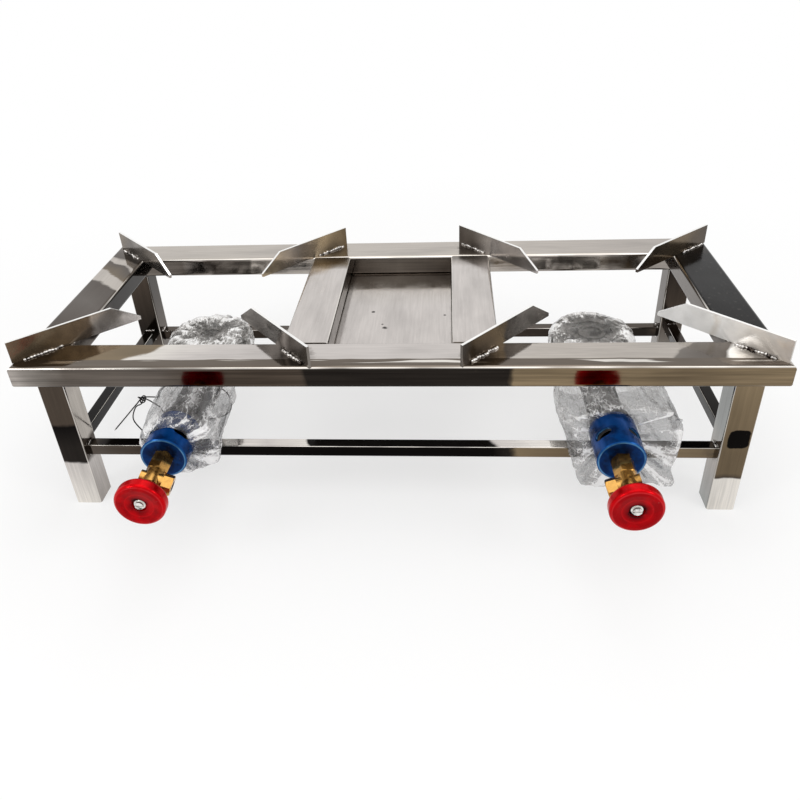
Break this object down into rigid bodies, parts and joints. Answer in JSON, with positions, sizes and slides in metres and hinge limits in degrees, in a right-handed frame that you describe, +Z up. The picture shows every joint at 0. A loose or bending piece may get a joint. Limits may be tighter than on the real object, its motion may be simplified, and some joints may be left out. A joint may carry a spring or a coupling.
{
  "type": "double burner gas stove",
  "caption": "Low stainless tube stand with cast burners, angled pan supports, blue air shutters and brass needle valves turned by red handwheels.",
  "frame": {"origin": "centre of the bounding box at the floor, under the leg ends", "axes": "+X along the length to the right as the stove is used, +Y from the valves to the back, +Z up"},
  "size_m": [0.8, 0.432, 0.221],
  "materials": {
    "stainless": "polished stainless tube and sheet",
    "weld": "tinted weld",
    "casting": "rough casting",
    "brass": "machined, bright",
    "shutter": "glossy blue paint",
    "handwheel": "glossy red",
    "fastener": "bright plated",
    "film": "clear crumpled film",
    "wire": "dark annealed wire"
  },
  "bodies": {
    "stand": {"front_rail": "stainless", "back_rail": "stainless", "left_rail": "stainless", "right_rail": "stainless", "left_cross_rail": "stainless", "right_cross_rail": "stainless", "centre_tray": "stainless", "front_left_leg": "stainless", "front_right_leg": "stainless", "rear_left_leg": "stainless", "rear_right_leg": "stainless", "front_bar": "stainless", "rear_bar": "stainless", "left_bar": "stainless", "right_bar": "stainless", "bar_welds": "weld", "left_front_outer_support": "stainless", "left_front_inner_support": "stainless", "left_back_outer_support": "stainless", "left_back_inner_support": "stainless", "right_front_outer_support": "stainless", "right_front_inner_support": "stainless", "right_back_outer_support": "stainless", "right_back_inner_support": "stainless", "support_welds": "weld", "left_burner_strip": "stainless", "right_burner_strip": "stainless", "left_burner_bolt": "fastener", "right_burner_bolt": "fastener", "left_burner_bowl": "casting", "right_burner_bowl": "casting", "left_burner_top": "casting", "right_burner_top": "casting", "left_mixing_tube": "casting", "right_mixing_tube": "casting", "left_mixer_head": "casting", "right_mixer_head": "casting", "left_gas_jet": "brass", "right_gas_jet": "brass", "left_valve_body": "brass", "right_valve_body": "brass", "left_inlet_adapter": "brass", "right_inlet_adapter": "brass", "left_bonnet_nut": "brass", "right_bonnet_nut": "brass", "left_head_film": "film", "right_head_film": "film", "left_tube_film": "film", "right_tube_film": "film", "tie_wire": "wire"},
    "left_shutter": {"left_air_shutter": "shutter"},
    "left_stem": {"left_spindle": "brass"},
    "left_wheel": {"left_handwheel": "handwheel", "left_wheel_screw": "fastener"},
    "right_shutter": {"right_air_shutter": "shutter"},
    "right_stem": {"right_spindle": "brass"},
    "right_wheel": {"right_handwheel": "handwheel", "right_wheel_screw": "fastener"}
  },
  "joints": [
    {"name": "left_shutter_turn", "type": "hinge", "parent": "stand", "child": "left_shutter", "pos_m": [-0.235, -0.104, 0.11], "axis": [0, -1, 0], "range_deg": [0, 45]},
    {"name": "left_spindle_rise", "type": "slide", "parent": "stand", "child": "left_stem", "axis": [0, -1, 0], "range_m": [0, 0.0026]},
    {"name": "left_wheel_turn", "type": "hinge", "parent": "left_stem", "child": "left_wheel", "pos_m": [-0.235, -0.104, 0.11], "axis": [0, -1, 0], "range_deg": [0, 900]},
    {"name": "right_shutter_turn", "type": "hinge", "parent": "stand", "child": "right_shutter", "pos_m": [0.235, -0.104, 0.11], "axis": [0, -1, 0], "range_deg": [0, 45]},
    {"name": "right_spindle_rise", "type": "slide", "parent": "stand", "child": "right_stem", "axis": [0, -1, 0], "range_m": [0, 0.0026]},
    {"name": "right_wheel_turn", "type": "hinge", "parent": "right_stem", "child": "right_wheel", "pos_m": [0.235, -0.104, 0.11], "axis": [0, -1, 0], "range_deg": [0, 900]}
  ],
  "couplings": [
    {"joint": "left_spindle_rise", "follows": "left_wheel_turn", "m_per_rad": 0.00015915},
    {"joint": "right_spindle_rise", "follows": "right_wheel_turn", "m_per_rad": 0.00015915}
  ]
}
